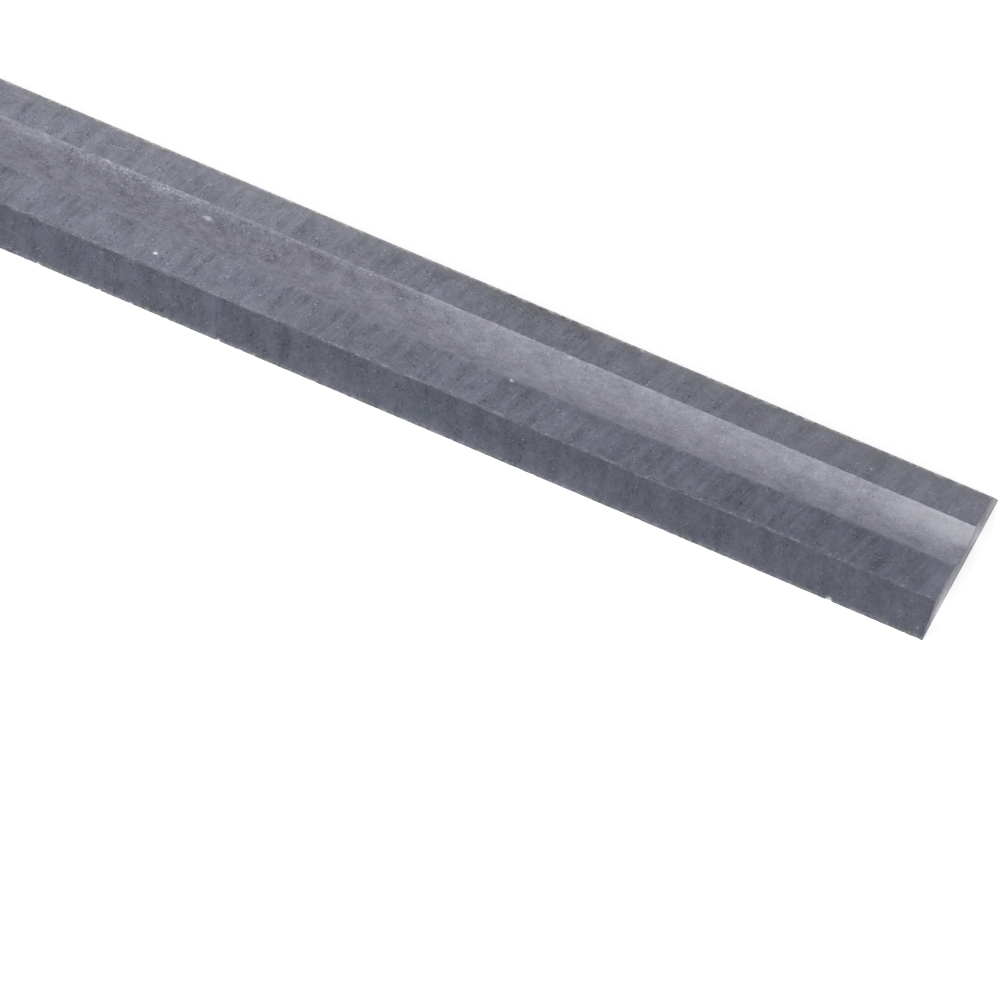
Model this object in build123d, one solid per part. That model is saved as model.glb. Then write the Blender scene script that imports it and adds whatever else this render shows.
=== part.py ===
from build123d import *
import os

# Reversible planer knife: one straight bar of cemented carbide with a cutting edge along each long side.
# It lies on its wide flat face. +X runs along the knife, +Y across it and +Z up out of the grooved face.
# The origin is the middle of the wide face. Sizes are in millimetres and angles in degrees.

# Driving sizes
length = 82.0  # end to end
width = 5.5  # cutting edge to cutting edge, across the wide face
thickness = 1.1  # wide face to grooved face
bevel_angle = 56.0  # wedge between a bevel and the wide face
groove_width = 1.55  # mouth of the locating groove, in the grooved face
groove_depth = 0.30  # grooved face to the bottom of the groove
groove_offset = 0.06  # middle of the groove off the middle of the knife, towards +Y
corner_radius = 0.06  # worn off the blunt corner between a bevel and the grooved face


# What grinding leaves: a trapezoid that stands on the wide face. Its sloped sides are the bevels. The
# lower corners are the cutting edges, which stay sharp, and the upper ones are blunt and a little worn.
def ground_outline():
    with BuildSketch() as outline:
        Trapezoid(width, thickness, bevel_angle, align=(Align.CENTER, Align.MIN))
        blunt_corners = outline.vertices().group_by(Axis.Y)[-1]
        fillet(blunt_corners, corner_radius)
    return outline.sketch


# The hollow groove is an arc. Its chord is the mouth in the grooved face, and its sagitta is the depth.
def groove_round():
    radius = ((groove_width / 2) ** 2 + groove_depth**2) / (2 * groove_depth)
    centre_height = thickness - groove_depth + radius
    with BuildSketch() as round_bar:
        with Locations((groove_offset, centre_height)):
            Circle(radius)
    return round_bar.sketch


# The section stands across the knife, with Y to its right and Z upwards, and is the same all along it.
def planer_knife():
    section = Plane.YZ * (ground_outline() - groove_round())
    return extrude(section, amount=length / 2, both=True)


os.makedirs("parts", exist_ok=True)
knife = planer_knife()
knife.label = "planer_knife"
export_step(knife, "parts/planer_knife.step")
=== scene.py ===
import math
import random
from collections import namedtuple

import bpy
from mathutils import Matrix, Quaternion, Vector


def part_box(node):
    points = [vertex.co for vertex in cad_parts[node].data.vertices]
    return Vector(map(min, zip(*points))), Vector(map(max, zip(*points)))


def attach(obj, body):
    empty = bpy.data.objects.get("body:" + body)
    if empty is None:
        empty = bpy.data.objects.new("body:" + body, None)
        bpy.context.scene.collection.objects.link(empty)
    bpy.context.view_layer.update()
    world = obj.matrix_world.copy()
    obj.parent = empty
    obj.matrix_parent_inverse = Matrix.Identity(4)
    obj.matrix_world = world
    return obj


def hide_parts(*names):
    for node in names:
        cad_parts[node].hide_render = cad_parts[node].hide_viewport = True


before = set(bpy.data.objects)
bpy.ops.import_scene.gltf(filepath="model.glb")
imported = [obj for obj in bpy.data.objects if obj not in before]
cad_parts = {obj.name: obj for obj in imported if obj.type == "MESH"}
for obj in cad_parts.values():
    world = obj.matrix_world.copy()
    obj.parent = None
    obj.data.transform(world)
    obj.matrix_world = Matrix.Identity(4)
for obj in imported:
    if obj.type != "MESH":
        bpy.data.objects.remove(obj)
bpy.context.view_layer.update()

# The knife's sizes, in millimetres and radians. Length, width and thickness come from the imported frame,
# and the rest are the section's own.
MM = 0.001
NODE = "planer_knife"
low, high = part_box(NODE)
LENGTH = (high.x - low.x) / MM
WIDTH = (high.y - low.y) / MM
THICKNESS = (high.z - low.z) / MM
BEVEL_ANGLE = math.radians(56.0)
BEVEL_LENGTH = THICKNESS / math.sin(BEVEL_ANGLE)
BLUNT_Y = WIDTH / 2 - THICKNESS / math.tan(BEVEL_ANGLE)
GROOVE_WIDTH = 1.55
GROOVE_DEPTH = 0.30
GROOVE_OFFSET = 0.06
GROOVE_RADIUS = ((GROOVE_WIDTH / 2) ** 2 + GROOVE_DEPTH**2) / (2 * GROOVE_DEPTH)
GROOVE_HALF_ANGLE = math.asin(GROOVE_WIDTH / 2 / GROOVE_RADIUS)

# The knife's two sides, as the sign of Y there, and its two ends, as the sign of X
FAR = 1
NEAR = -1
PHOTOGRAPHED_END = 1
HIDDEN_END = -1

# Distances round the section from the near cutting edge, by way of the wide face
FAR_EDGE_AT = WIDTH
FAR_RIDGE_AT = FAR_EDGE_AT + BEVEL_LENGTH
FAR_LIP_AT = FAR_RIDGE_AT + BLUNT_Y - GROOVE_OFFSET - GROOVE_WIDTH / 2
NEAR_LIP_AT = FAR_LIP_AT + 2 * GROOVE_HALF_ANGLE * GROOVE_RADIUS
NEAR_RIDGE_AT = NEAR_LIP_AT + BLUNT_Y + GROOVE_OFFSET - GROOVE_WIDTH / 2
NEAR_EDGE_AT = NEAR_RIDGE_AT + BEVEL_LENGTH

# How many faces each stretch of the outline has, and how far apart the sections stand
BASE_FACES = 6
BEVEL_FACES = 6
CORNER_FACES = 4
FLAT_FACES = 4
LIP_FACES = 2
GROOVE_FACES = 24
STATION_STEP = 0.062
SHARP_ANGLE = math.radians(30.0)

# The finishes, in the order of the knife's material slots. All but the last are the outline's zones:
# back is the wide face, ridge the bend from the near flat to its bevel, and chipped the cutting edges.
FINISHES = ("back", "bevel", "far_flat", "near_flat", "groove", "ridge", "chipped", "end")
# The map of the unrolled surface, in millimetres
UNROLLED = "unrolled_mm"

# The wear of a cutting edge: how far back it stands, the rough and fine waves in that, the least it can
# be, and how far the wear goes up the bevel for each millimetre
EDGE_WEAR = 0.006
EDGE_ROUGH_STEP = 0.15
EDGE_ROUGH_SWING = 0.6
EDGE_FINE_STEP = 0.07
EDGE_FINE_SWING = 0.4
EDGE_WEAR_LEAST = 0.001
EDGE_WEAR_RISE = 0.9
# Chips out of the near cutting edge: (x, half length, depth)
NEAR_CHIPS = ((38.08, 0.09, 0.030), (18.72, 0.06, 0.016), (14.90, 0.06, 0.014), (12.92, 0.07, 0.018))
# Chips at random places: how many an edge has, their half lengths, and their depths as shares of those
RANDOM_CHIPS = 120
RANDOM_CHIP_HALVES = (0.035, 0.075)
RANDOM_CHIP_DEPTHS = (0.05, 0.16)
CHIP_FLOOR_SWING = 0.25

# The wear radii of the ridges between flat and bevel, and of the groove's lips. They change along the
# knife in waves, each a step and a swing.
FAR_RIDGE_WEAR = (0.006, 0.030)
NEAR_RIDGE_WEAR = (0.012, 0.055)
LIP_WEAR = (0.006, 0.028)
WEAR_WAVES = ((0.90, 0.5), (0.25, 0.3), (0.10, 0.3))
# How far a lip strays from its line, and the waves it does that in
LIP_RAGGED = 0.020
LIP_WAVES = ((0.22, 0.6), (0.09, 0.6))
# The worn rim round an end
END_WEAR = 0.012

# The slant of the grinding marks off square, on the flats and on the bevels
FLAT_SLANT = math.radians(15.0)
BEVEL_SLANT = math.radians(-16.0)

# Base colours
FAR_FLAT_COLOUR = (0.219, 0.225, 0.2685)
NEAR_FLAT_COLOUR = (0.186, 0.193, 0.2385)
# Darker than the flats of the same ground carbide: partly the bevels' own grind, partly painted shade of
# their slant
BEVEL_TONE_AND_SHADE = (0.1235, 0.130, 0.1618)
GROOVE_COLOUR = (0.244, 0.245, 0.2965)
RIDGE_COLOUR = (0.117, 0.121, 0.148)
CHIP_COLOUR = (0.42, 0.42, 0.44)
END_COLOUR = (0.176, 0.171, 0.194)
# White for specks, and for the groove's painted highlight
SPECK_AND_HIGHLIGHT_COLOUR = (0.80, 0.80, 0.85)
# Worn bright metal for rims, partly a painted highlight
RUBBED_AND_SHEEN_COLOUR = (0.50, 0.498, 0.515)
WARM_COLOUR = (0.232, 0.222, 0.212)

# Places on the unrolled surface are (x, distance round the section), in millimetres. White specks are a
# place, radii and how white they are.
FAR_SPECKS = (((37.52, 7.56), (0.035, 0.035), 0.35), ((13.98, 7.80), (0.030, 0.025), 0.25))
NEAR_SPECKS = (
    ((16.06, 10.51), (0.065, 0.052), 1.00),
    ((27.08, 9.73), (0.060, 0.040), 0.55),
    ((30.60, 10.34), (0.028, 0.028), 0.25),
)
GROOVE_SPECKS = (
    ((16.78, 8.43), (0.140, 0.060), 0.44),
    ((13.39, 8.02), (0.060, 0.030), 0.35),
    ((15.33, 8.09), (0.070, 0.030), 0.30),
    ((17.83, 8.23), (0.040, 0.035), 0.20),
    ((22.94, 8.40), (0.040, 0.035), 0.22),
    ((27.08, 9.70), (0.060, 0.030), 0.40),
    ((28.22, 8.06), (0.080, 0.040), 0.32),
    ((30.58, 8.17), (0.040, 0.030), 0.20),
    ((37.61, 8.28), (0.040, 0.035), 0.18),
    ((40.84, 8.21), (0.035, 0.035), 0.10),
)
# A wide pale patch at the photographed end of the groove: a painted highlight where its steep side
# reflects the light
GROOVE_HIGHLIGHT = ((41.2, 8.22), (3.0, 0.42), 0.22)
BEVEL_SPECKS = (
    ((40.76, 12.00), (0.032, 0.032), 0.28),
    ((12.92, 12.29), (0.075, 0.045), 0.68),
    ((14.50, 12.30), (0.055, 0.035), 0.75),
    ((14.89, 12.30), (0.050, 0.040), 0.62),
    ((15.53, 12.30), (0.050, 0.030), 0.60),
    ((15.92, 12.30), (0.060, 0.040), 0.75),
    ((17.07, 12.30), (0.050, 0.035), 0.65),
    ((18.72, 12.29), (0.065, 0.045), 0.62),
    ((19.42, 12.30), (0.050, 0.030), 0.50),
    ((19.86, 12.30), (0.055, 0.040), 0.60),
    ((21.76, 12.30), (0.075, 0.035), 0.45),
    ((26.18, 12.30), (0.060, 0.035), 0.45),
    ((38.06, 12.28), (0.090, 0.055), 0.50),
)
# Lighter and darker blotches are a place, radii and a change in brightness
FAR_BLOTCHES = (
    ((27.0, 7.50), (4.6, 0.60), -0.11),
    ((26.9, 6.95), (2.0, 0.30), -0.13),
    ((40.8, 7.30), (2.6, 1.00), 0.11),
    ((16.0, 6.98), (7.0, 0.16), 0.13),
    ((26.8, 6.86), (1.8, 0.14), -0.20),
)
NEAR_BLOTCHES = (((22.0, 10.40), (2.0, 0.55), -0.09), ((41.3, 10.35), (1.15, 1.20), 0.27))
BEVEL_BLOTCHES = (
    ((28.0, 11.30), (5.0, 0.35), -0.09),
    ((27.0, 12.15), (5.5, 0.25), 0.13),
    ((14.0, 12.15), (3.0, 0.25), 0.09),
)
GROOVE_BLOTCHES = (
    ((20.5, 8.20), (3.0, 0.26), -0.14),
    ((16.0, 8.60), (5.0, 0.36), -0.16),
    ((15.0, 9.62), (8.0, 0.22), 0.08),
    ((29.0, 8.40), (6.0, 0.65), 0.13),
    ((38.0, 9.80), (8.0, 0.20), -0.24),
    ((37.5, 9.40), (2.4, 0.35), -0.13),
    ((35.8, 8.28), (2.0, 0.30), 0.15),
    ((39.8, 8.75), (1.6, 0.25), 0.12),
    ((41.1, 8.70), (0.35, 0.45), -0.34),
    ((22.9, 8.42), (1.9, 0.42), -0.10),
    ((27.0, 9.25), (2.2, 0.40), 0.06),
)
# On the end faces the place is (y, z)
END_BLOTCHES = (
    ((-1.2, 1.10), (1.9, 0.50), -0.36),
    ((-1.0, 1.08), (0.3, 0.15), -0.15),
    ((1.6, 1.10), (0.6, 0.55), -0.50),
    ((1.25, 0.25), (0.30, 0.22), 0.28),
    ((-2.45, 0.30), (0.42, 0.80), -0.36),
    ((0.0, 0.50), (0.6, 0.80), -0.18),
    ((0.95, 0.50), (0.30, 0.35), 0.30),
    ((0.60, 0.95), (0.12, 0.15), 0.30),
    ((-1.6, 0.05), (0.60, 0.50), 0.60),
    # The last darkens the bottom of each end face along the floor: a painted contact shadow
    ((0.9, 0.0), (1.9, 0.16), -0.36),
)
# Where the groove's far lip is flaked, with bright splinters that are painted glints of its small facets:
# a place, radii and how much
FLAKED_LIP_GLINTS = (((14.2, 8.09), (3.2, 0.18), 1.00), ((24.0, 8.08), (5.5, 0.09), 0.45))

# Rims, in patches: distance round the section, reach, the share of a colour that is mixed in, and the
# colour. Most are worn bright, partly real wear and partly a painted highlight where ridges, lips and
# edges catch the light, and the far flat also turns a little brown towards its ridge.
FAR_FLAT_RIMS = (
    (FAR_RIDGE_AT, 0.24, 0.40, WARM_COLOUR),
    (FAR_RIDGE_AT, 0.035, 0.68, RUBBED_AND_SHEEN_COLOUR),
    (FAR_RIDGE_AT, 0.10, 0.08, RUBBED_AND_SHEEN_COLOUR),
)
NEAR_FLAT_RIMS = ((NEAR_RIDGE_AT, 0.06, 0.14, RUBBED_AND_SHEEN_COLOUR), (NEAR_LIP_AT, 0.05, 0.09, RUBBED_AND_SHEEN_COLOUR))
GROOVE_RIMS = ((FAR_LIP_AT, 0.06, 0.14, RUBBED_AND_SHEEN_COLOUR),)
BEVEL_RIMS = (
    (FAR_EDGE_AT, 0.10, 0.32, RUBBED_AND_SHEEN_COLOUR),
    (FAR_RIDGE_AT, 0.04, 0.10, RUBBED_AND_SHEEN_COLOUR),
    (NEAR_RIDGE_AT, 0.04, 0.10, RUBBED_AND_SHEEN_COLOUR),
    (NEAR_EDGE_AT, 0.10, 0.24, RUBBED_AND_SHEEN_COLOUR),
    (NEAR_EDGE_AT, 0.20, 0.04, RUBBED_AND_SHEEN_COLOUR),
)

# A noise is the size of its features across and along the marks, in millimetres, how many finer layers
# it has, how strong those are, and a shift that sets it apart from the others.
Noise = namedtuple("Noise", "across along detail roughness shift")
FLAT_STREAKS = Noise(0.33, 4.40, 2.0, 0.70, 0)
BEVEL_STREAKS = Noise(0.40, 4.40, 2.0, 0.45, 0)
SCRATCHES = Noise(0.055, 0.50, 1.0, 0.70, 7)
MOTTLE = Noise(0.70, 1.00, 4.0, 0.95, 29)
GROUND_GRAIN = Noise(0.042, 0.046, 1.0, 0.80, 13)
SINTERED_GRAIN = Noise(0.044, 0.044, 1.0, 0.80, 3)
GRAIN_PATCHES = Noise(0.45, 0.50, 1.0, 0.60, 51)
CLOUDS = Noise(0.80, 0.60, 4.0, 0.95, 17)
RUBBED_AND_SHEEN_PATCHES = Noise(0.20, 0.12, 2.0, 0.90, 61)
RIM_PATCHES = Noise(0.15, 0.11, 2.0, 0.90, 71)
SPLINTER_GLINTS = Noise(0.13, 0.08, 2.0, 0.90, 81)
# Takes most of a noise, about its middle, to between -1 and 1
NOISE_GAIN = 4

# How far each noise swings the brightness, either way
STREAK_SWING = 0.24
SCRATCH_SWING = 0.055
FLAT_MOTTLE_SWING = 0.285
BEVEL_MOTTLE_SWING = 0.33
GRAIN_SWING = 0.20
CLOUD_SWING = 0.46
# How far a colour's hue drifts, and the size of its patches
GROUND_TINT = 0.04
SINTERED_TINT = 0.016
HUE_SIZE = 0.5

# Ramps are the noise values where a change begins and ends, and what it gives there
GRAIN_STRENGTH = (0.38, 0.62, 0.45, 1.6)
RIM_STRENGTH = (0.36, 0.64, 0.1, 1.9)
FLAKE_GLINT = (0.50, 0.60, 0.02, 0.66)
RUBBED_AND_SHEEN_BEGINS = 0.50
RUBBED_AND_SHEEN_ENDS = 0.62

# Wobbles are the size and the reach of the pushes that make a drawn shape ragged, in millimetres
MOTTLE_WOBBLE = (0.30, 0.05)
CRUMB_WOBBLE = (0.07, 0.025)
RIM_WOBBLE = (0.20, 0.03)
SPECK_WOBBLE = (0.05, 0.03)
LIP_WOBBLE = (0.40, 0.08)

# How much of its radius a shape's soft edge takes
DOT_SOFTNESS = 0.4
SPECK_SOFTNESS = 0.5
BLOTCH_SOFTNESS = 0.7
LIP_SOFTNESS = 0.8
RIM_SOFTNESS = 0.9

# The grain's dark pits and bright flecks are a spacing, a radius, the share that is kept, and a shift
Dots = namedtuple("Dots", "spacing radius share shift")
PITS = Dots(0.17, 0.028, 0.32, 0)
FLECKS = Dots(0.19, 0.024, 0.26, 5)
PIT_DARK = 0.21
FLECK_LIGHT = 0.38
SINTERED_CRUMB_SHIFT = 9

# Roughness of the shaders, and the depth of their bumps in millimetres
GROUND_ROUGHNESS = 0.60
GROUND_ROUGHNESS_SWING = 0.05
SINTERED_ROUGHNESS = 0.7
GROUND_BUMP = 0.004
GRAIN_IN_GROUND_BUMP = 0.5
SINTERED_BUMP = 0.006

# Where along the knife the finishes begin to change towards the photographed end. Such a change is two
# gains, there and at that end. The changes in brightness are partly painted light, the lamps' falloff
# along the knife.
FADE_START = 14.0
NO_CHANGE = (1.0, 1.0)

# The camera, along the photograph's line of sight. Distances are in millimetres.
VIEW_AZIMUTH = math.radians(18.915)
VIEW_ELEVATION = math.radians(55.015)
VIEW_ROLL = math.radians(7.401)
VIEW_DISTANCE = 288.34
VIEW_AIM = Vector((28.421, -4.349, 0.55))
VIEW_LENS = 363.78
VIEW_SENSOR = 36.0

# The studio: even room light, and square soft boxes as (name, azimuth, elevation, radiance). Azimuth 0
# is on the near side and 90 past the photographed end. Angles are in degrees, lengths in millimetres.
ROOM_LIGHT = 0.4
BOX_SIZE = 120.0
BOX_DISTANCE = 200.0
LIT_POINT = Vector((26.0, 0.0, 0.5))
SOFT_BOXES = (
    ("high", 240, 65, 1.82),
    ("back", 220, 40, 0.88),
    ("back_low", 200, 15, 1.21),
    ("front_right", 40, 15, 5.55),
    ("right", 80, 15, 4.11),
    ("front_left", 320, 15, 1.32),
)
# The floor, which glows a little so that it looks white. Its reach is in metres.
FLOOR_REACH = 3.0
FLOOR_COLOUR = (0.93, 0.93, 0.93, 1.0)
FLOOR_ROUGHNESS = 0.9
FLOOR_GLOW = 0.34
WHITE = (1.0, 1.0, 1.0, 1.0)


class Wander:
    """A smooth random wave along the knife, from -1 to 1, the same on every run."""

    def __init__(self, seed, step):
        draw = random.Random(seed)
        self.step = step
        # A few heights more than the length needs, so that both ends have neighbours
        count = int(LENGTH / step) + 4
        self.heights = [draw.uniform(-1, 1) for _ in range(count)]

    def __call__(self, x):
        place = (x + LENGTH / 2) / self.step + 1
        i = int(place)
        t = place - i
        # Eased, so that the wave has no corners
        t = t * t * (3 - 2 * t)
        return self.heights[i] * (1 - t) + self.heights[i + 1] * t


class Waves:
    """Several such waves added up, each a step and a swing. Their seeds follow one another."""

    def __init__(self, seed, steps_and_swings):
        self.parts = [
            (swing, Wander(seed + i, step)) for i, (step, swing) in enumerate(steps_and_swings)
        ]

    def __call__(self, x):
        return sum(swing * wave(x) for swing, wave in self.parts)


class Chips:
    """A cutting edge's wear, with small hollows broken out of it. Called with x, it gives the depth."""

    def __init__(self, seed, known=()):
        draw = random.Random(seed)
        self.chips = list(known)
        for _ in range(RANDOM_CHIPS):
            x = draw.uniform(-LENGTH / 2, LENGTH / 2)
            half = draw.uniform(*RANDOM_CHIP_HALVES)
            self.chips.append((x, half, half * draw.uniform(*RANDOM_CHIP_DEPTHS)))
        self.rough = Wander(seed + 1, EDGE_ROUGH_STEP)
        self.fine = Wander(seed + 2, EDGE_FINE_STEP)

    def __call__(self, x):
        depth = EDGE_WEAR * (1 + EDGE_ROUGH_SWING * self.rough(x) + EDGE_FINE_SWING * self.fine(x))
        for middle, half, deepest in self.chips:
            off = abs(x - middle) / half
            if off < 1:
                depth += deepest * math.sqrt(1 - off * off) * (1 + CHIP_FLOOR_SWING * self.fine(x))
        return max(depth, EDGE_WEAR_LEAST)


class Worn:
    """A wear radius that changes along the knife between two limits."""

    def __init__(self, seed, limits):
        self.low, self.high = limits
        self.waves = Waves(seed, WEAR_WAVES)

    def __call__(self, x):
        share = 0.5 + 0.5 * self.waves(x)
        return self.low + (self.high - self.low) * min(max(share, 0), 1)


# The wear of each side. The first numbers are seeds.
edge_wear = {NEAR: Chips(11, NEAR_CHIPS), FAR: Chips(21)}
ridge_wear = {NEAR: Worn(31, NEAR_RIDGE_WEAR), FAR: Worn(41, FAR_RIDGE_WEAR)}
lip_wear = {NEAR: Worn(51, LIP_WEAR), FAR: Worn(61, LIP_WEAR)}
lip_waves = {NEAR: Waves(71, LIP_WAVES), FAR: Waves(81, LIP_WAVES)}


def between(start, end, faces):
    """Points from start up to just before end, in equal steps."""
    steps = [i / faces for i in range(faces)]
    return [(start[0] + (end[0] - start[0]) * t, start[1] + (end[1] - start[1]) * t) for t in steps]


def bend(start, corner, end, faces):
    """Points of a soft bend from start to end round a corner, up to just before end."""
    points = []
    for i in range(faces):
        t = i / faces
        a, b, c = (1 - t) ** 2, 2 * t * (1 - t), t * t
        y = a * start[0] + b * corner[0] + c * end[0]
        z = a * start[1] + b * corner[1] + c * end[1]
        points.append((y, z))
    return points


def on_bevel(side, height):
    """The point of a side's bevel at a height over the wide face."""
    return side * (WIDTH / 2 - height / math.tan(BEVEL_ANGLE)), height


def worn_edge(side, x):
    """Where a worn cutting edge leaves the wide face, and where it meets the bevel."""
    wear = edge_wear[side](x)
    return (side * (WIDTH / 2 - wear), 0.0), on_bevel(side, wear * EDGE_WEAR_RISE)


def worn_ridge(side, x):
    """A ridge's bend: where it leaves the bevel, its corner, and where it meets the flat."""
    wear = ridge_wear[side](x)
    below = on_bevel(side, THICKNESS - wear * math.sin(BEVEL_ANGLE))
    on_flat = (side * (BLUNT_Y - wear), THICKNESS)
    return below, (side * BLUNT_Y, THICKNESS), on_flat


def worn_lip(side, x):
    """A lip's bend: where it leaves the flat, its corner, and the angle where it meets the groove."""
    wear = lip_wear[side](x)
    mouth = GROOVE_OFFSET + side * GROOVE_WIDTH / 2 + LIP_RAGGED * lip_waves[side](x)
    turn = side * (GROOVE_HALF_ANGLE - wear / GROOVE_RADIUS)
    return (mouth + side * wear, THICKNESS), (mouth, THICKNESS), turn


def groove_point(angle):
    """A point of the groove's arc, at an angle about the arc's centre, from the bottom towards +Y."""
    y = GROOVE_OFFSET + GROOVE_RADIUS * math.sin(angle)
    return y, THICKNESS - GROOVE_DEPTH + GROOVE_RADIUS * (1 - math.cos(angle))


def hollow(start, end):
    """Points of the groove's arc from one angle to another, with both ends."""
    turns = [start + (end - start) * i / GROOVE_FACES for i in range(GROOVE_FACES + 1)]
    return [groove_point(turn) for turn in turns]


def outline(x):
    """The section at x as (zone, points) stretches, anticlockwise seen from +X, in millimetres."""
    far_base, far_edge = worn_edge(FAR, x)
    near_base, near_edge = worn_edge(NEAR, x)
    far_bevel, far_ridge, far_flat = worn_ridge(FAR, x)
    near_bevel, near_ridge, near_flat = worn_ridge(NEAR, x)
    far_rim, far_lip, far_turn = worn_lip(FAR, x)
    near_rim, near_lip, near_turn = worn_lip(NEAR, x)
    arc = hollow(far_turn, near_turn)
    far_bend = bend(far_rim, far_lip, arc[0], LIP_FACES)
    near_bend = bend(arc[-1], near_lip, near_rim, LIP_FACES)

    return [
        ("back", between(near_base, far_base, BASE_FACES)),
        ("chipped", [far_base]),
        ("bevel", between(far_edge, far_bevel, BEVEL_FACES)),
        ("far_flat", bend(far_bevel, far_ridge, far_flat, CORNER_FACES)),
        ("far_flat", between(far_flat, far_rim, FLAT_FACES)),
        ("far_flat", far_bend[:1]),
        ("groove", far_bend[1:] + arc[:-1] + near_bend[:1]),
        ("near_flat", near_bend[1:]),
        ("near_flat", between(near_rim, near_flat, FLAT_FACES)),
        ("ridge", bend(near_flat, near_ridge, near_bevel, CORNER_FACES)),
        ("bevel", between(near_bevel, near_edge, BEVEL_FACES)),
        ("chipped", [near_edge]),
    ]


def section(x):
    """The points of the outline at x, as one ring."""
    return [point for _, points in outline(x) for point in points]


def stations():
    """The places along the knife where a section stands, without the two end faces."""
    span = LENGTH - 2 * END_WEAR
    count = round(span / STATION_STEP)
    first = -LENGTH / 2 + END_WEAR
    return [first + span * i / count for i in range(count + 1)]


def drawn_in(points, margin):
    """An outline shrunk about its middle by a margin, for the worn rim of an end face."""
    across = 1 - 2 * margin / WIDTH
    up = 1 - 2 * margin / THICKNESS
    return [(y * across, THICKNESS / 2 + (z - THICKNESS / 2) * up) for y, z in points]


class Skin:
    """The knife's faces as they are added: points, loops, finishes, and places on the unrolled map."""

    def __init__(self):
        self.vertices = []
        self.faces = []
        self.kinds = []
        self.places = []

    def add_ring(self, x, ring):
        """Adds a ring's points at x, and returns the number of the first."""
        first = len(self.vertices)
        self.vertices += [(x * MM, y * MM, z * MM) for y, z in ring]
        return first

    def add_face(self, finish, loop, places):
        self.faces.append(loop)
        self.kinds.append(FINISHES.index(finish))
        self.places += places

    def add_band(self, zones, around, xs, firsts):
        """Adds the faces between two sections, with the x and the first point of each."""
        for i, zone in enumerate(zones):
            j = (i + 1) % len(zones)
            loop = (firsts[0] + i, firsts[0] + j, firsts[1] + j, firsts[1] + i)
            start, end = around[i], around[i + 1]
            self.add_face(zone, loop, [(xs[0], start), (xs[0], end), (xs[1], end), (xs[1], start)])

    def add_end(self, end, ring, first):
        """Adds an end's worn rim and its face. ring is the last section, and first its first point."""
        inner = drawn_in(ring, END_WEAR)
        rim = self.add_ring(end * LENGTH / 2, inner)
        for i in range(len(ring)):
            j = (i + 1) % len(ring)
            loop = (first + i, first + j, rim + j, rim + i)
            self.add_face("end", loop[::end], [ring[i], ring[j], inner[j], inner[i]][::end])
        loop = tuple(rim + i for i in range(len(ring)))
        self.add_face("end", loop[::end], inner[::end])

    def mesh(self, name):
        mesh = bpy.data.meshes.new(name)
        mesh.from_pydata(self.vertices, [], self.faces)
        mesh.polygons.foreach_set("material_index", self.kinds)
        layer = mesh.uv_layers.new(name=UNROLLED)
        layer.data.foreach_set("uv", [value for place in self.places for value in place])
        mesh.polygons.foreach_set("use_smooth", [True] * len(self.faces))
        mesh.set_sharp_from_angle(angle=SHARP_ANGLE)
        mesh.validate()
        return mesh


def distances_round(ring):
    """How far round a section each of its points is from the first, ending with the whole way round."""
    around = [0.0]
    for i, point in enumerate(ring):
        around.append(around[-1] + math.dist(point, ring[(i + 1) % len(ring)]))
    return around


def knife_mesh():
    """The worn knife as a closed mesh, with a map of its unrolled surface."""
    zones = [zone for zone, points in outline(0.0) for _ in points]
    around = distances_round(section(0.0))
    xs = stations()
    rings = [section(x) for x in xs]

    skin = Skin()
    firsts = [skin.add_ring(x, ring) for x, ring in zip(xs, rings)]
    for i in range(len(xs) - 1):
        skin.add_band(zones, around, xs[i : i + 2], firsts[i : i + 2])
    skin.add_end(HIDDEN_END, rings[0], firsts[0])
    skin.add_end(PHOTOGRAPHED_END, rings[-1], firsts[-1])
    return skin.mesh("knife")


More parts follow.
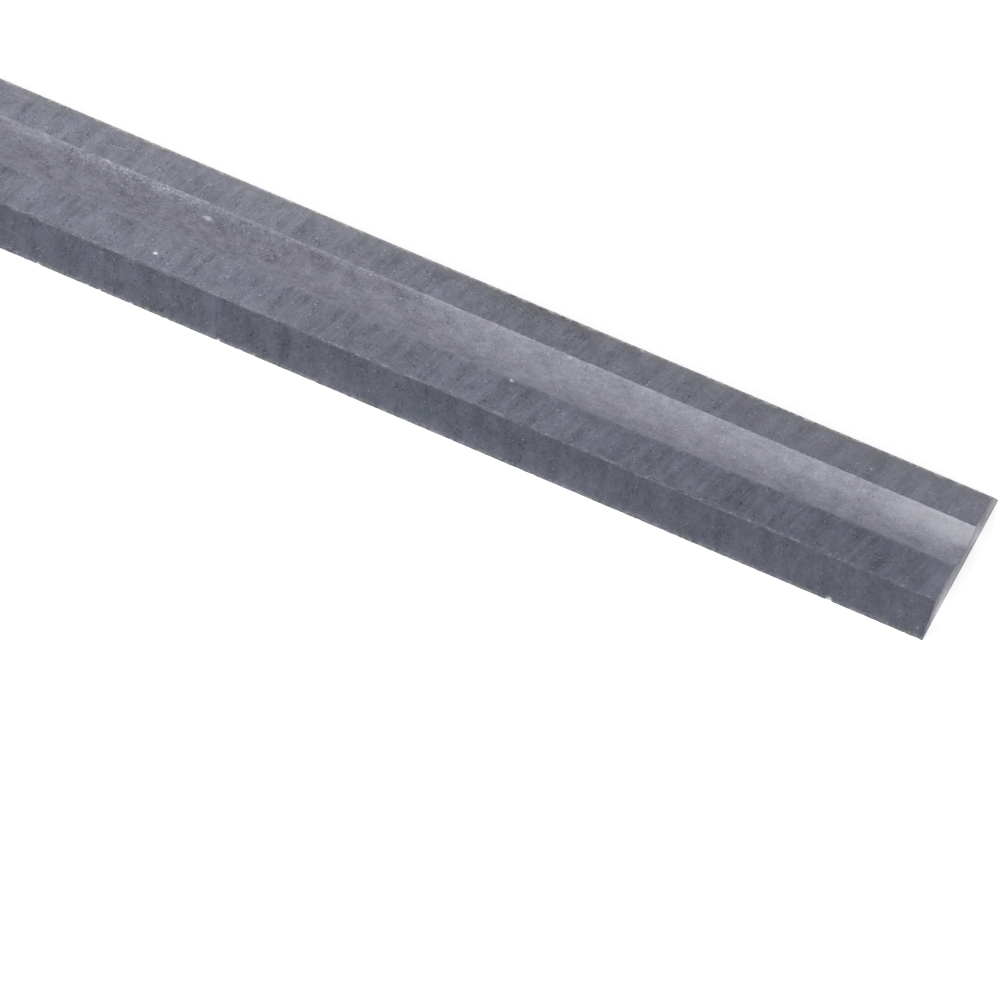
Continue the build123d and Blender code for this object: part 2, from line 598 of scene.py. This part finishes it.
class Nodes:
    """A short way to write a material's nodes."""

    def __init__(self, name):
        self.material = bpy.data.materials.new(name)
        self.material.use_nodes = True
        self.tree = self.material.node_tree
        self.shader = self.tree.nodes["Principled BSDF"]

    def add(self, kind, inputs=(), **settings):
        node = self.tree.nodes.new(kind)
        for key, value in settings.items():
            setattr(node, key, value)
        for key, value in dict(inputs).items():
            self.set(node.inputs[key], value)
        return node

    def set(self, socket, value):
        if isinstance(value, bpy.types.NodeSocket):
            self.tree.links.new(value, socket)
        else:
            socket.default_value = value

    def math(self, operation, *values, clamp=False):
        node = self.add("ShaderNodeMath", dict(enumerate(values)), operation=operation, use_clamp=clamp)
        return node.outputs[0]

    def vector(self, operation, *values):
        node = self.add("ShaderNodeVectorMath", dict(enumerate(values)), operation=operation)
        return node.outputs[0]

    def scaled(self, vector, scale):
        node = self.add("ShaderNodeVectorMath", {0: vector, "Scale": scale}, operation="SCALE")
        return node.outputs[0]

    def surface(self, slant=0.0):
        """Places on the unrolled surface, turned so that Y runs along the grinding marks."""
        unrolled = self.add("ShaderNodeUVMap", uv_map=UNROLLED).outputs[0]
        inputs = {"Vector": unrolled, "Angle": -slant}
        return self.add("ShaderNodeVectorRotate", inputs, rotation_type="Z_AXIS").outputs[0]

    def noise(self, place, noise, shift=0):
        """A noise, from 0 to 1. shift sets a finish's noises apart from those of the others."""
        size = (1 / noise.across, 1 / noise.along, 1.0)
        moved = noise.shift + shift
        vector = self.vector("MULTIPLY_ADD", place, size, (moved, moved, moved))
        inputs = {"Vector": vector, "Scale": 1.0, "Detail": noise.detail, "Roughness": noise.roughness}
        return self.add("ShaderNodeTexNoise", inputs).outputs["Fac"]

    def spread(self, value, amount):
        """A noise value, about its middle, as a swing of about plus or minus amount."""
        centred = self.math("SUBTRACT", value, 0.5)
        return self.math("MULTIPLY", centred, amount * NOISE_GAIN)

    def ramp(self, value, start, end, first, last):
        """A smooth change from first to last as value goes from start to end."""
        inputs = {"Value": value, "From Min": start, "From Max": end, "To Min": first, "To Max": last}
        return self.add("ShaderNodeMapRange", inputs, interpolation_type="SMOOTHSTEP").outputs["Result"]

    def spot(self, place, middle, radii, soft):
        """1 inside an oval of the surface and 0 outside it, soft over a share of its radius."""
        shift = (-middle[0] / radii[0], -middle[1] / radii[1], 0.0)
        oval = self.vector("MULTIPLY_ADD", place, (1 / radii[0], 1 / radii[1], 0.0), shift)
        away = self.add("ShaderNodeVectorMath", {0: oval}, operation="LENGTH").outputs["Value"]
        return self.ramp(away, 1 - soft, 1 + soft, 1.0, 0.0)

    def wobbly(self, place, size, amount):
        """Places pushed about by up to amount millimetres, so that what is drawn on them is ragged."""
        inputs = {"Vector": self.scaled(place, 1 / size), "Scale": 1.0, "Detail": 1.0}
        push = self.add("ShaderNodeTexNoise", inputs).outputs["Color"]
        gain = amount * NOISE_GAIN
        moved = self.vector("MULTIPLY_ADD", push, (gain, gain, 0.0), place)
        return self.vector("SUBTRACT", moved, (gain / 2, gain / 2, 0.0))

    def dots(self, place, dots, shift):
        """1 in small round dots, about one to each spacing, of which a share is kept."""
        size = (1 / dots.spacing, 1 / dots.spacing, 0.0)
        moved = dots.shift + shift
        vector = self.vector("MULTIPLY_ADD", place, size, (moved, moved, 0.0))
        inputs = {"Vector": vector, "Scale": 1.0}
        cells = self.add("ShaderNodeTexVoronoi", inputs, voronoi_dimensions="2D")
        radius = dots.radius / dots.spacing
        inner, outer = (1 - DOT_SOFTNESS) * radius, (1 + DOT_SOFTNESS) * radius
        inside = self.ramp(cells.outputs["Distance"], inner, outer, 1.0, 0.0)
        lots = self.add("ShaderNodeSeparateColor", {"Color": cells.outputs["Color"]}).outputs["Red"]
        kept = self.math("LESS_THAN", lots, dots.share)
        return self.math("MULTIPLY", inside, kept)

    def total(self, *values):
        result = values[0]
        for value in values[1:]:
            result = self.math("ADD", result, value)
        return result

    def along(self, place, first, last):
        """A smooth change along the knife, from x = FADE_START to the photographed end."""
        x = self.add("ShaderNodeSeparateXYZ", {0: place}).outputs["X"]
        return self.ramp(x, FADE_START, LENGTH / 2, first, last)

    def brightness(self, colour, swing, place, tint):
        """A colour, brighter or darker by a share, whose hue drifts by about plus or minus tint."""
        drift = self.vector("MULTIPLY", place, (1 / HUE_SIZE, 1 / HUE_SIZE, 1.0))
        inputs = {"Vector": drift, "Scale": 1.0, "Detail": 2.0, "Roughness": 0.7}
        hue = self.add("ShaderNodeTexNoise", inputs).outputs["Color"]
        gain = tint * NOISE_GAIN
        shade = self.vector("MULTIPLY_ADD", hue, (gain, gain, gain), (-gain / 2, -gain / 2, -gain / 2))
        both = self.vector("ADD", shade, self.math("ADD", swing, 1.0))
        return self.vector("MULTIPLY", both, colour)

    def mix(self, share, first, second):
        """The first colour with a share of the second."""
        part = self.scaled(self.vector("SUBTRACT", second, first), share)
        return self.vector("ADD", first, part)

    def bump(self, height, depth):
        """A bump as deep as depth millimetres for each unit of height."""
        inputs = {"Height": height, "Distance": depth * MM, "Strength": 1.0}
        return self.add("ShaderNodeBump", inputs).outputs[0]


def crumbs(nodes, place, shift):
    """The grain's own dark pits and bright flecks, as a swing."""
    ragged_place = nodes.wobbly(place, *CRUMB_WOBBLE)
    pits = nodes.math("MULTIPLY", nodes.dots(ragged_place, PITS, shift), -PIT_DARK)
    flecks = nodes.math("MULTIPLY", nodes.dots(ragged_place, FLECKS, shift), FLECK_LIGHT)
    return nodes.math("ADD", pits, flecks)


def patchiness(nodes, place, shift):
    """How strong the grain is from place to place, since it lies in patches."""
    return nodes.ramp(nodes.noise(place, GRAIN_PATCHES, shift), *GRAIN_STRENGTH)


def tinged(nodes, place, colour, blue):
    """A colour whose blue changes along the knife, by two gains."""
    gain = nodes.along(place, *blue)
    gains = nodes.add("ShaderNodeCombineXYZ", {"X": 1.0, "Y": 1.0, "Z": gain}).outputs[0]
    return nodes.vector("MULTIPLY", colour, gains)


def rubbed_and_sheen(nodes, place, colour, rims):
    """A colour that turns to another along the rims, in patches. The bright rims are partly wear and
    partly a painted highlight.
    """
    edge = nodes.wobbly(place, *RIM_WOBBLE)
    broken = nodes.ramp(nodes.noise(place, RIM_PATCHES), *RIM_STRENGTH)
    for around, reach, share, rim_colour in rims:
        band = nodes.spot(edge, (0.0, around), (LENGTH, reach), RIM_SOFTNESS)
        amount = nodes.math("MULTIPLY", nodes.math("MULTIPLY", band, share), broken, clamp=True)
        colour = nodes.mix(amount, colour, rim_colour)
    return colour


def specked(nodes, place, colour, specks):
    """A colour with ragged white specks on it; the groove's wide pale patch among them is a painted
    highlight.
    """
    ragged_place = nodes.wobbly(place, *SPECK_WOBBLE)
    for middle, radii, share in specks:
        spot = nodes.spot(ragged_place, middle, radii, SPECK_SOFTNESS)
        colour = nodes.mix(nodes.math("MULTIPLY", spot, share), colour, SPECK_AND_HIGHLIGHT_COLOUR)
    return colour


def marked(nodes, place, swing, contrast, fade, blotches):
    """A swing made stronger by contrast, with a change in brightness along the knife, partly painted
    light falloff, and blotches added. contrast and fade are two gains each."""
    parts = [nodes.math("MULTIPLY", swing, nodes.along(place, *contrast))]
    parts.append(nodes.along(place, fade[0] - 1, fade[1] - 1))
    for middle, radii, change in blotches:
        spot = nodes.spot(place, middle, radii, BLOTCH_SOFTNESS)
        parts.append(nodes.math("MULTIPLY", spot, change))
    return nodes.total(*parts)


def paint(
    nodes,
    place,
    colour,
    swing,
    tint,
    contrast=NO_CHANGE,
    fade=NO_CHANGE,
    blue=NO_CHANGE,
    blotches=(),
    rims=(),
    specks=(),
):
    """Gives the shader a colour that swings in brightness and drifts in hue, with its marks on it."""
    swing = marked(nodes, place, swing, contrast, fade, blotches)
    shade = nodes.brightness(colour, swing, place, tint)
    shade = tinged(nodes, place, shade, blue)
    if rims:
        shade = rubbed_and_sheen(nodes, place, shade, rims)
    if specks:
        shade = specked(nodes, place, shade, specks)
    nodes.set(nodes.shader.inputs["Base Color"], shade)


def ground_finish(
    name,
    colour,
    slant,
    shift=0,
    lines=FLAT_STREAKS,
    streaks=1.0,
    mottled=FLAT_MOTTLE_SWING,
    **marks,
):
    """Ground carbide: long slanted grinding marks over a patchy dark grain. lines is the noise of the
    main marks, streaks how strong all the marks are, and mottled how strong the patches are."""
    nodes = Nodes(name)
    flat = nodes.surface()
    place = nodes.surface(slant)
    streak = nodes.noise(place, lines, shift)
    scratch = nodes.noise(place, SCRATCHES, shift)
    mottle = nodes.noise(nodes.wobbly(place, *MOTTLE_WOBBLE), MOTTLE, shift)
    grain = nodes.noise(flat, GROUND_GRAIN, shift)

    fine = nodes.total(nodes.spread(grain, GRAIN_SWING), crumbs(nodes, flat, shift))
    fine = nodes.math("MULTIPLY", fine, patchiness(nodes, flat, shift))
    swing = nodes.total(
        nodes.spread(streak, STREAK_SWING * streaks),
        nodes.spread(scratch, SCRATCH_SWING * streaks),
        nodes.spread(mottle, mottled),
        fine,
    )
    paint(nodes, flat, colour, swing, GROUND_TINT, **marks)

    nodes.shader.inputs["Metallic"].default_value = 1.0
    roughness = nodes.math("ADD", nodes.spread(streak, GROUND_ROUGHNESS_SWING), GROUND_ROUGHNESS)
    nodes.set(nodes.shader.inputs["Roughness"], roughness)
    height = nodes.total(scratch, nodes.math("MULTIPLY", grain, GRAIN_IN_GROUND_BUMP))
    nodes.set(nodes.shader.inputs["Normal"], nodes.bump(height, GROUND_BUMP))
    return nodes.material


def lip_glints(nodes, place, shift, flaked):
    """Painted glints, as bright splinters where the groove's lip is flaked, as a swing."""
    light = nodes.ramp(nodes.noise(place, SPLINTER_GLINTS, shift), *FLAKE_GLINT)
    lip = nodes.wobbly(place, *LIP_WOBBLE)
    parts = []
    for middle, radii, share in flaked:
        strength = nodes.math("MULTIPLY", nodes.spot(lip, middle, radii, LIP_SOFTNESS), share)
        parts.append(nodes.math("MULTIPLY", light, strength))
    return nodes.total(*parts)


def sintered_finish(name, colour, patchy=0.0, shift=0, flaked=(), **marks):
    """Carbide as it leaves the furnace: a fine matt skin like fine sand. patchy is how much brighter its
    worn patches are, partly a painted highlight, and flaked the places of its splinters, which are
    painted glints."""
    nodes = Nodes(name)
    place = nodes.surface()
    grain = nodes.noise(place, SINTERED_GRAIN, shift)
    cloud = nodes.noise(place, CLOUDS, shift)

    loose = crumbs(nodes, place, shift + SINTERED_CRUMB_SHIFT)
    fine = nodes.total(nodes.spread(grain, GRAIN_SWING), loose)
    fine = nodes.math("MULTIPLY", fine, patchiness(nodes, place, shift))
    swing = nodes.total(fine, nodes.spread(cloud, CLOUD_SWING))
    if patchy:
        patches = nodes.noise(place, RUBBED_AND_SHEEN_PATCHES, shift)
        swing = nodes.total(swing, nodes.ramp(patches, RUBBED_AND_SHEEN_BEGINS, RUBBED_AND_SHEEN_ENDS, 0.0, patchy))
    if flaked:
        swing = nodes.total(swing, lip_glints(nodes, place, shift, flaked))
    paint(nodes, place, colour, swing, SINTERED_TINT, **marks)

    nodes.shader.inputs["Metallic"].default_value = 0.0
    nodes.shader.inputs["Roughness"].default_value = SINTERED_ROUGHNESS
    nodes.set(nodes.shader.inputs["Normal"], nodes.bump(grain, SINTERED_BUMP))
    return nodes.material


def far_flat_finish():
    """The far flat, which darkens towards the photographed end, partly as painted shade of the lamps'
    falloff.
    """
    return ground_finish(
        "ground_far_flat",
        FAR_FLAT_COLOUR,
        FLAT_SLANT,
        streaks=0.95,
        contrast=(1.22, 0.80),
        fade=(1.09, 0.915),
        blotches=FAR_BLOTCHES,
        rims=FAR_FLAT_RIMS,
        specks=FAR_SPECKS,
    )


def near_flat_finish():
    """The near flat, which darkens and turns bluer towards the photographed end, the darkening partly
    painted shade of the lamps' falloff.
    """
    return ground_finish(
        "ground_near_flat",
        NEAR_FLAT_COLOUR,
        FLAT_SLANT,
        shift=90,
        streaks=1.08,
        contrast=(1.33, 0.86),
        fade=(1.20, 0.80),
        blue=(0.978, 1.022),
        blotches=NEAR_BLOTCHES,
        rims=NEAR_FLAT_RIMS,
        specks=NEAR_SPECKS,
    )


def bevel_finish():
    """The bevels, with broader and fainter marks than the flats. Their darker colour and their darkening
    towards the photographed end are partly painted shade.
    """
    return ground_finish(
        "ground_bevels",
        BEVEL_TONE_AND_SHADE,
        BEVEL_SLANT,
        shift=40,
        lines=BEVEL_STREAKS,
        streaks=0.60,
        mottled=BEVEL_MOTTLE_SWING,
        contrast=(1.22, 0.77),
        fade=(1.083, 0.923),
        blotches=BEVEL_BLOTCHES,
        rims=BEVEL_RIMS,
        specks=BEVEL_SPECKS,
    )


def groove_finish():
    """The groove, which lightens towards the photographed end as painted light falloff, with a painted
    highlight at that end and a flaked far lip with painted glints.
    """
    return sintered_finish(
        "sintered_groove",
        GROOVE_COLOUR,
        flaked=FLAKED_LIP_GLINTS,
        contrast=(1.00, 0.88),
        fade=(0.94, 1.06),
        blue=(1.012, 0.984),
        blotches=GROOVE_BLOTCHES,
        rims=GROOVE_RIMS,
        # The first of the groove's specks is its painted highlight
        specks=(GROOVE_HIGHLIGHT, *GROOVE_SPECKS),
    )


def ridge_finish():
    """The near ridge, bright in patches, partly worn metal and partly a painted highlight, and darker
    towards the photographed end, partly painted shade.
    """
    return sintered_finish("rubbed_and_sheen_ridges", RIDGE_COLOUR, patchy=0.75, shift=300, fade=(1.22, 0.80))


def finish_materials():
    """A material for each finish."""
    return {
        "back": ground_finish("ground_back", FAR_FLAT_COLOUR, FLAT_SLANT, shift=200),
        "bevel": bevel_finish(),
        "far_flat": far_flat_finish(),
        "near_flat": near_flat_finish(),
        "groove": groove_finish(),
        "ridge": ridge_finish(),
        "chipped": sintered_finish("chipped_edges", CHIP_COLOUR, patchy=0.3, shift=500),
        "end": sintered_finish("sintered_ends", END_COLOUR, shift=120, blotches=END_BLOTCHES),
    }


def knife():
    """The knife's shown piece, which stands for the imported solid."""
    piece = bpy.data.objects.new("planer_knife_ground", knife_mesh())
    bpy.context.scene.collection.objects.link(piece)
    finishes = finish_materials()
    for finish in FINISHES:
        piece.data.materials.append(finishes[finish])
    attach(piece, "root")
    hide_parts(NODE)


def floor():
    """A plain near-white floor, wide enough for every view."""
    corners = [(-1, -1), (1, -1), (1, 1), (-1, 1)]
    mesh = bpy.data.meshes.new("floor")
    mesh.from_pydata([(x * FLOOR_REACH, y * FLOOR_REACH, 0) for x, y in corners], [], [(0, 1, 2, 3)])
    sheet = bpy.data.objects.new("floor", mesh)
    bpy.context.scene.collection.objects.link(sheet)
    nodes = Nodes("floor_paper")
    nodes.shader.inputs["Base Color"].default_value = FLOOR_COLOUR
    nodes.shader.inputs["Roughness"].default_value = FLOOR_ROUGHNESS
    nodes.shader.inputs["Emission Color"].default_value = WHITE
    nodes.shader.inputs["Emission Strength"].default_value = FLOOR_GLOW
    mesh.materials.append(nodes.material)


def stand(thing, aim, azimuth, elevation, distance, roll=0.0):
    """Stands a camera or a light at a distance from its aim and turns it to face that."""
    level = math.cos(elevation)
    back = Vector((math.sin(azimuth) * level, -math.cos(azimuth) * level, math.sin(elevation)))
    thing.location = (aim + back * distance) * MM
    thing.rotation_mode = "QUATERNION"
    thing.rotation_quaternion = (-back).to_track_quat("-Z", "Y") @ Quaternion((0, 0, 1), roll)
    bpy.context.scene.collection.objects.link(thing)


def soft_box(name, azimuth, elevation, radiance):
    """A square soft box that faces the lit point. radiance is what its face gives off."""
    light = bpy.data.lights.new(name, "AREA")
    light.shape = "SQUARE"
    light.size = BOX_SIZE * MM
    light.energy = radiance * math.pi * light.size**2
    box = bpy.data.objects.new(name, light)
    box.visible_camera = False
    stand(box, LIT_POINT, math.radians(azimuth), math.radians(elevation), BOX_DISTANCE)


def studio():
    """An even pale room, with soft boxes round the knife."""
    world = bpy.data.worlds.new("room")
    world.use_nodes = True
    background = world.node_tree.nodes["Background"]
    background.inputs["Color"].default_value = WHITE
    background.inputs["Strength"].default_value = ROOM_LIGHT
    bpy.context.scene.world = world
    for name, azimuth, elevation, radiance in SOFT_BOXES:
        soft_box(name, azimuth, elevation, radiance)


def camera():
    """The camera, which sees the knife as the photograph does."""
    data = bpy.data.cameras.new("camera")
    data.lens = VIEW_LENS
    data.sensor_width = VIEW_SENSOR
    eye = bpy.data.objects.new("camera", data)
    stand(eye, VIEW_AIM, VIEW_AZIMUTH, VIEW_ELEVATION, VIEW_DISTANCE, VIEW_ROLL)
    bpy.context.scene.camera = eye


camera()
studio()
floor()
knife()
bpy.context.scene.view_settings.view_transform = "Standard"
bpy.context.view_layer.update()
